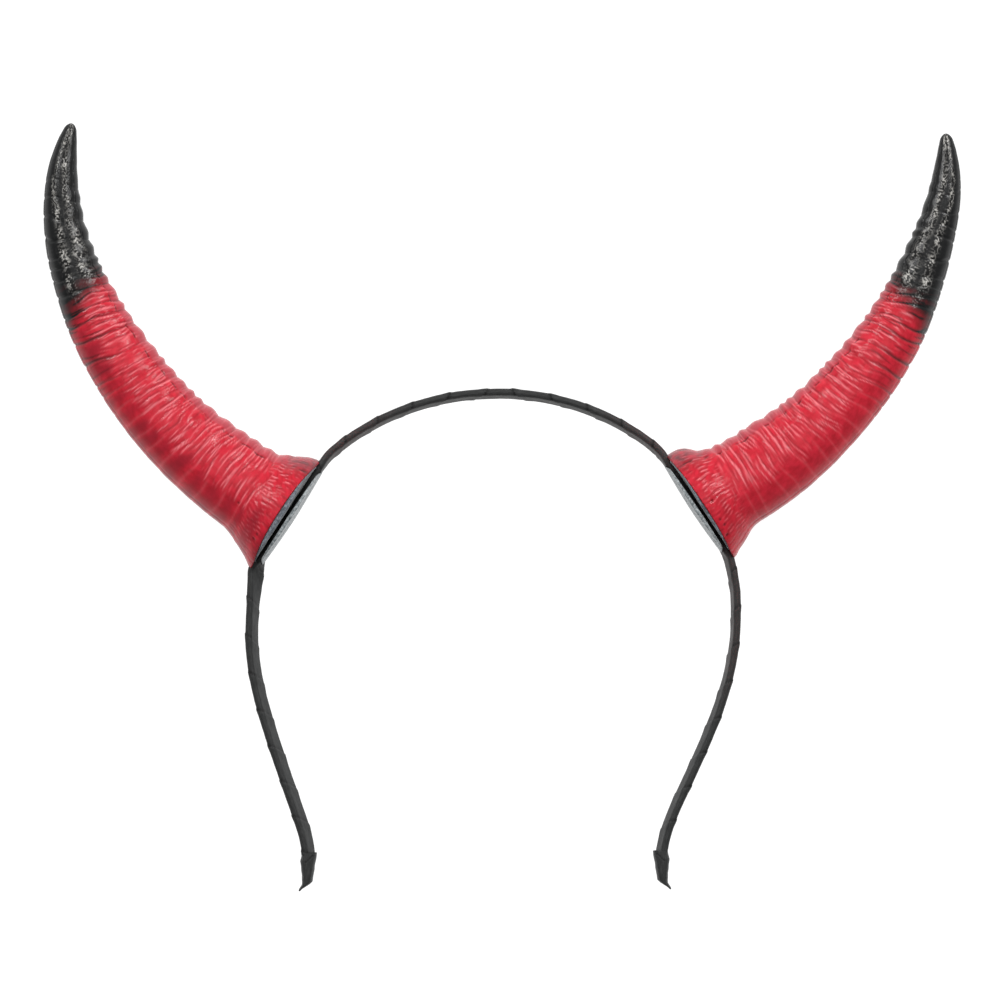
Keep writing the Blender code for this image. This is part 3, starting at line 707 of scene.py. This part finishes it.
def foot_pleats(distance, cell, sway, seed):
    """Crests and gaps of the pleats along the flared foot: strokes at the whole numbers of a phase
    that grows round the horn and sways at random."""
    phase = PLEATS * cell + sway
    switch = crumpled(distance / PLEAT_LENGTH, np.mod(phase, PLEATS), PLEATS, seed)
    return strokes(phase, switch - 0.05, 0.15), strokes(phase, switch, 0.24, 0.4)


def glints_of(distance, bent, share, place, cell, seed):
    """The two crinkled strips of the tip, as bell curves round their places, and the glints in them, raised a
    little and painted silver as highlights: thin crooked lines where fine random heights cross nought, in
    scattered patches."""
    outer, inner, width = (np.interp(share, GLITTER_TABLE[:, 0], GLITTER_TABLE[:, at]) for at in (1, 2, 3))
    strips = np.maximum(line_of(place, width, outer), line_of(place, 1.25 * width, inner))
    glitter = crumpled(bent / GLINT_LENGTH, 30.0 * cell, 30, seed)
    scatter = eased(0.40 + 1.5 * crumpled(distance / SCATTER_LENGTH + 0.4, 15.0 * cell, 15, seed + 3))
    return strips, line_of(glitter, 0.12) * strips * eased((share - 0.585) / 0.03) * (0.25 + 0.75 * scatter)


def horn_relief(side, distance, half_width, turn, seed):
    """Height of the casting's relief and the shares of its paints and of its painted highlights and shade, at
    distances from the foot and turns round the horn. The folds run round the horn at the whole numbers of a
    phase that grows with the distance and sways at random; the foot's pleats run along it in the same way."""
    share = distance / side.horn_length
    # 1 on the bulging side and -1 on the hollow one. The rings follow bent, which sags across it.
    bulge = np.cos(turn)
    cell = turn / (2.0 * math.pi)
    wander = crumpled(distance / WANDER_LENGTH, 5.0 * cell, 5, seed)
    waver = crumpled(distance / WAVER_LENGTH, 11.0 * cell, 11, seed + 1)
    bent = distance - (0.05 + 0.16 * share) * half_width * bulge + 0.0011 * wander + 0.00025 * waver
    hollow = eased((-0.45 - bulge) / 0.35)
    smooth_side = eased((bulge - 0.05 + 0.25 * waver) / 0.40)
    fin = eased((turn - FRONT_SEAM) / 0.08) * eased((BACK_OF_FIN - turn) / 0.4)
    folded = (1.0 - smooth_side) * (1.0 - 0.65 * fin)
    foot = 1.0 - eased((distance - PLEATED_LENGTH - 0.0020 * wander) / 0.0036)
    body = 1.0 - foot
    black_edge = BLACK_START - 0.030 * bulge - 0.016 * eased((bulge - 0.55) / 0.4)
    black = eased((share - black_edge + 0.006 * wander) / BLACK_FADE + 0.5)

    # Rings, with a wedge of a groove between two, which dark paint gathers in towards the tip.
    ring = from_notch(bent, seed + 2, side.horn_length)
    ring_fade = eased(distance / FLARE_LENGTH) * eased((0.97 - share) / 0.25)
    wedge = 0.07 + 0.09 * eased((bulge + 0.5) / 1.3)
    groove = np.exp(-(ring / wedge) ** 2)
    stained = eased((share - 0.40 + 0.05 * bulge) / 0.14) * (0.60 + 0.40 * eased((bulge + 0.8) / 1.2))

    # Crinkles: long and short creases, the furrows beside them, and soft swellings under both.
    swelling = crumpled(bent / SWELLING_LENGTH, 3.0 * cell, 3, seed + 6)
    long_phase = bent / LONG_FOLD + 0.55 * crumpled(distance / SWAY_LENGTH, 5.0 * cell, 5, seed + 3)
    long_switch = crumpled(1.1 * long_phase, 8.0 * cell, 8, seed + 4)
    short_phase = bent / SHORT_FOLD + 0.5 * waver
    short_switch = crumpled(0.9 * short_phase, 15.0 * cell, 15, seed + 5)
    creases = np.maximum(strokes(long_phase, long_switch, 0.10),
                         0.8 * strokes(short_phase, short_switch - 0.1, 0.15)) * folded * body
    furrows = np.maximum(strokes(long_phase, long_switch, 0.12, 0.26),
                         0.7 * strokes(short_phase, short_switch, 0.18, 0.42)) * folded * body
    stains = np.maximum(groove, 0.8 * strokes(long_phase, long_switch + 0.1, 0.10, 0.30)) * stained * 0.85
    pleats, pleat_gaps = foot_pleats(distance, cell, 0.6 * waver + 0.3 * wander, seed + 7)
    pleats = pleats * foot * (0.35 + 0.65 * folded) * eased((distance - 0.0010) / 0.0015)
    pleat_gaps = pleat_gaps * foot
    strips, glints = glints_of(distance, bent, share, bulge + 0.06 * waver, cell, seed + 8)

    # Seams of the mould, broken where the paint has filled them.
    breaks = eased(0.25 + 1.9 * crumpled(distance / BREAK_LENGTH, 7.0 * cell, 7, seed + 9))
    seam = line_of(turn + 0.05 * wander, 0.022, FRONT_SEAM)
    bulge_seam = line_of(turn, 0.03, BULGE_SEAM)
    lump_height, pits = lumps_of(side, distance, turn)
    groove_share = 0.15 + 0.35 * hollow + 0.85 * stained * (1.0 - hollow)
    relief = (RING_HEIGHT * (eased(ring) - 0.5) * hollow * ring_fade
              - GROOVE_DEPTH * groove * ring_fade * groove_share
              + SWELLING_HEIGHT * swelling * body * (0.45 + 0.55 * folded) * (1.0 - 0.6 * black)
              + FOLD_HEIGHT * (creases - 0.6 * furrows) * (1.0 - black)
              + PLEAT_HEIGHT * (pleats - 0.6 * pleat_gaps)
              + GLINT_HEIGHT * glints * eased((1.0 - share) / 0.05)
              - SEAM_DEPTH * seam * (0.2 + 0.8 * breaks) * eased(distance / 0.002)
              - BULGE_SEAM_DEPTH * bulge_seam
              + lump_height)

    # Shares of the paints, and of the painted highlights and shade, each in the order that it lies on the one
    # before.
    mottled = np.clip(0.5 + 0.7 * crumpled(distance / MOTTLE_LENGTH, 50.0 * cell, 50, seed + 10), 0.0, 1.0)
    corner = eased((0.0095 - distance) / 0.006) * eased((-0.50 - bulge) / 0.40)
    worn_black = black * (1.0 - 0.25 * eased((ring - 0.4) / 0.3) * eased((0.70 - share) / 0.07))
    worn_black = 1.0 - (1.0 - worn_black * (1.0 - 0.2 * mottled * (black < 0.999))) ** 2.2
    shaded = smooth_side * np.clip(0.75 * eased(ring) + 0.5 * swelling + 0.3 * bulge, 0.0, 1.0)
    masks = {
        "shaded_band": (1.0 if side is LEFT else 0.35) * shaded,
        # Painted highlight: a paler red on the crests of the swellings.
        "swelling": np.clip(0.5 + 0.8 * swelling, 0.0, 1.0) * folded * body,
        "fin": fin,
        # Painted shade in the furrows beside the creases, in the ring grooves on the hollow side and between
        # the pleats.
        "furrow": np.clip(furrows + 0.4 * groove * ring_fade * hollow + 0.7 * pleat_gaps, 0.0, 1.0),
        # Painted highlights along the creases and pleats, and faintly in the ring grooves of the smooth side.
        "crease": np.clip(np.maximum(creases, pleats) + 0.15 * groove * smooth_side * body, 0.0, 1.0),
        "seam_line": np.clip((seam + 0.5 * bulge_seam) * breaks * eased(distance / 0.001) + pits, 0.0, 1.0),
        "overspray": corner * mottled,
        "black_paint": np.clip(worn_black + stains * ring_fade, 0.0, 1.0),
        "strip": strips * black ** 2,
        # Painted silver glints: reflections painted on the crinkled black of the tip.
        "glitter": glints * black ** 3,
    }
    return relief, masks


def horn_wall(side, distances, turn, inset, relief):
    """Ovals across the centre line, set in by the wall's thickness and raised by the relief along
    their own normals. The rim's bow is let down into the foot, less and less away from it."""
    centre, sideways = horn_line(side, distances)
    half_width, half_depth = horn_halves(side, distances)
    across_normal = np.cos(turn) * half_depth
    front_normal = np.sin(turn) * half_width
    size = np.maximum(np.hypot(across_normal, front_normal), 1e-9)
    across = (half_width - inset) * np.cos(turn) + relief * across_normal / size
    forward = (half_depth - inset) * np.sin(turn) + relief * front_normal / size
    _, _, away = seat_of(side)
    drop = ROOT_HEIGHT - rim_height(side, across)
    drop = drop * (1.0 - np.clip(distances / FLARE_LENGTH, 0.0, 1.0))[:, None]
    return (centre[:, None, :] + across[..., None] * sideways[:, None, :] + forward[..., None] * FRONT
            - drop[..., None] * away), half_width


# Latex paint, sprayed in thin coats over crinkled latex: a glossy red, with painted highlights along the
# folds and on the swellings and painted shade in the furrows, and a black that settles in the grooves, with
# painted silver glints where it is crinkled. The red is uneven in clouds about 3 mm wide, and its gloss has
# an orange peel of 0.5 mm. Per mm:
RED_CLOUDS = 0.35
ORANGE_PEEL = 2.0
latex, tree, shader = new_material("sprayed_glossy_latex")
paint_uv = node(tree, "UVMap", uv_map="wrap")
mm_of_horn = node(tree, "Mapping", {"Vector": paint_uv.outputs["UV"]}, Scale=(1000.0, 1000.0, 1000.0))
mottle = node(tree, "TexNoise", {"Vector": mm_of_horn.outputs[0]}, Scale=RED_CLOUDS, Detail=4.0,
              Roughness=0.6)
grain = node(tree, "TexNoise", {"Vector": mm_of_horn.outputs[0]}, Scale=ORANGE_PEEL, Detail=2.0,
             Roughness=0.6)
red = node(tree, "ValToRGB", {"Fac": mottle.outputs["Fac"]})
red.color_ramp.elements[0].position = 0.35
red.color_ramp.elements[0].color = linear("b21626")
red.color_ramp.elements[1].position = 0.65
red.color_ramp.elements[1].color = linear("d02236")


def share_of(mask):
    """The share of a paint, read from the mesh."""
    return node(tree, "Attribute", attribute_name=mask).outputs["Fac"]


def painted(under, share, code, strength):
    """A paint over the colour below it, as thick as its share times its strength."""
    scaled = node(tree, "MapRange", {"Value": share})
    scaled.inputs["To Max"].default_value = strength
    coat = node(tree, "Mix", data_type="RGBA")
    tree.links.new(scaled.outputs[0], coat.inputs[0])
    tree.links.new(under, coat.inputs[6])
    coat.inputs[7].default_value = linear(code)
    return coat.outputs[2]


colour = painted(red.outputs[0], share_of("shaded_band"), "861828", 0.6)
# A paler red painted on the crests of the swellings as a highlight.
colour = painted(colour, share_of("swelling"), "dc3040", 0.35)
colour = painted(colour, share_of("fin"), "a83e4c", 0.5)
# Painted shade in the furrows, the hollow side's ring grooves and the gaps between pleats.
colour = painted(colour, share_of("furrow"), "800f1c", 0.7)
# Painted highlights along the creases and the pleats.
colour = painted(colour, share_of("crease"), "f48890", 0.78)
colour = painted(colour, share_of("seam_line"), "2a0d10", 0.85)
colour = painted(colour, share_of("overspray"), "3c3335", 0.75)
colour = painted(colour, share_of("black_paint"), "101112", 1.0)
colour = painted(colour, share_of("strip"), "040404", 0.9)
# Painted silver glints: reflections painted on the crinkled black of the tip.
colour = painted(colour, share_of("glitter"), "dcd9d3", 0.95)
tree.links.new(colour, shader.inputs["Base Color"])
shader.inputs["Roughness"].default_value = 0.55
shader.inputs["Specular IOR Level"].default_value = 0.15
grain_bump = node(tree, "Bump", {"Height": grain.outputs["Fac"]}, Strength=0.5, Distance=0.00012)
tree.links.new(grain_bump.outputs[0], shader.inputs["Coat Normal"])
shader.inputs["Coat Weight"].default_value = 0.55
shader.inputs["Coat Roughness"].default_value = 0.12
shader.inputs["Coat IOR"].default_value = 1.33

for order, side in enumerate((LEFT, RIGHT)):
    top = side.horn_length - TIP_ROUNDING
    outside = np.concatenate([np.linspace(0.0, top, HORN_ROWS),
                              top + TIP_ROUNDING * np.sin(np.linspace(0.0, 1.5, TIP_ROWS))[1:]])
    inside = np.linspace(0.0, HOLLOW_SHARE * side.horn_length, INSIDE_ROWS)
    # The turns start at the back, where the wrap's ends meet, and crowd together at the front.
    even = np.linspace(0.0, 2.0 * math.pi, HORN_COLUMNS + 1)
    turn = even - 0.5 * math.pi + FRONT_CROWDING * np.sin(even)
    turn = np.mod(turn, 2.0 * math.pi)[None, :]
    distance, turns = np.broadcast_arrays(outside[:, None], turn)
    relief, masks = horn_relief(side, distance, horn_halves(side, outside)[0], turns, 51 + 20 * order)
    relief = relief * eased((side.horn_length - distance) / 0.002)
    outer, half_width = horn_wall(side, outside, turn, 0.0, relief)
    inner, inner_width = horn_wall(side, inside[::-1], turn, HORN_WALL, 0.0)
    rows = np.concatenate([inner, outer])
    nothing = np.zeros((len(inner), HORN_COLUMNS))
    masks = {name: np.concatenate([nothing, mask[:, :-1]]) for name, mask in masks.items()}
    reach = np.concatenate([np.repeat(-inside[::-1, None], HORN_COLUMNS + 1, axis=1), distance])
    girth = np.concatenate([inner_width, half_width]) * even[None, :]
    wrap = np.stack([reach, girth], axis=-1)
    horn = skinned("latex_horn_" + side.name, rows[:, :-1], wrap, masks, latex)
    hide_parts("horn_" + side.name)
    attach(horn, "root")

# Studio
# A pale floor under the headband, soft lights from above, and the camera straight over its front.
# One pixel of the picture covers this much of the headband.
PIXEL = 0.000284
CAMERA_DISTANCE = 1.60
FLOOR_SIZE = 3.0
# Opal acrylic, cast and lit from below, as on a light table: an even white that takes no shadow.
acrylic, tree, shader = new_material("opal_acrylic_light_table")
shader.inputs["Base Color"].default_value = linear("808080")
shader.inputs["Roughness"].default_value = 0.9
shader.inputs["Emission Color"].default_value = linear("ffffff")
shader.inputs["Emission Strength"].default_value = 0.95
half = 0.5 * FLOOR_SIZE
floor_mesh = bpy.data.meshes.new("floor")
floor_mesh.from_pydata([(-half, -half, 0.0), (half, -half, 0.0), (half, half, 0.0), (-half, half, 0.0)], [],
                       [(0, 1, 2, 3)])
floor_mesh.materials.append(acrylic)
floor = bpy.data.objects.new("floor", floor_mesh)
bpy.context.scene.collection.objects.link(floor)


def aimed(thing, place, target, up):
    """Stand a lamp or camera at a place with its -Z to the target and its Y nearest to up."""
    back = (place - target) / np.linalg.norm(place - target)
    right = np.cross(up, back)
    right = right / np.linalg.norm(right)
    upright = np.cross(back, right)
    turned = Matrix(np.array((right, upright, back)).T.tolist()).to_4x4()
    thing.matrix_world = Matrix.Translation(Vector(place)) @ turned


middle = laid(np.array((-0.00085, -0.0302, 0.0)))
# Columns: place over the middle in metres (u, v, w), size, and power in watts.
for name, place, size, power in (("key", (-0.62, 0.55, 0.75), 0.30, 5.2),
                                 ("second", (0.62, 0.55, 0.75), 0.30, 6.6),
                                 ("overhead", (0.0, 0.10, 1.25), 0.9, 3.0)):
    lamp = bpy.data.lights.new(name, "AREA")
    lamp.size = size
    lamp.energy = power
    light = bpy.data.objects.new(name, lamp)
    bpy.context.scene.collection.objects.link(light)
    aimed(light, middle + np.array(place) @ own_axes, middle, own_v)
world = bpy.data.worlds.new("studio")
world.use_nodes = True
world.node_tree.nodes["Background"].inputs["Color"].default_value = linear("ffffff")
world.node_tree.nodes["Background"].inputs["Strength"].default_value = 0.25
bpy.context.scene.world = world
bpy.context.scene.view_settings.view_transform = "Standard"

lens = bpy.data.cameras.new("camera")
lens.sensor_width = 36.0
lens.lens = 36.0 * CAMERA_DISTANCE / (1000.0 * PIXEL)
camera = bpy.data.objects.new("camera", lens)
bpy.context.scene.collection.objects.link(camera)
aimed(camera, middle + own_w * CAMERA_DISTANCE, middle, own_v)
bpy.context.scene.camera = camera
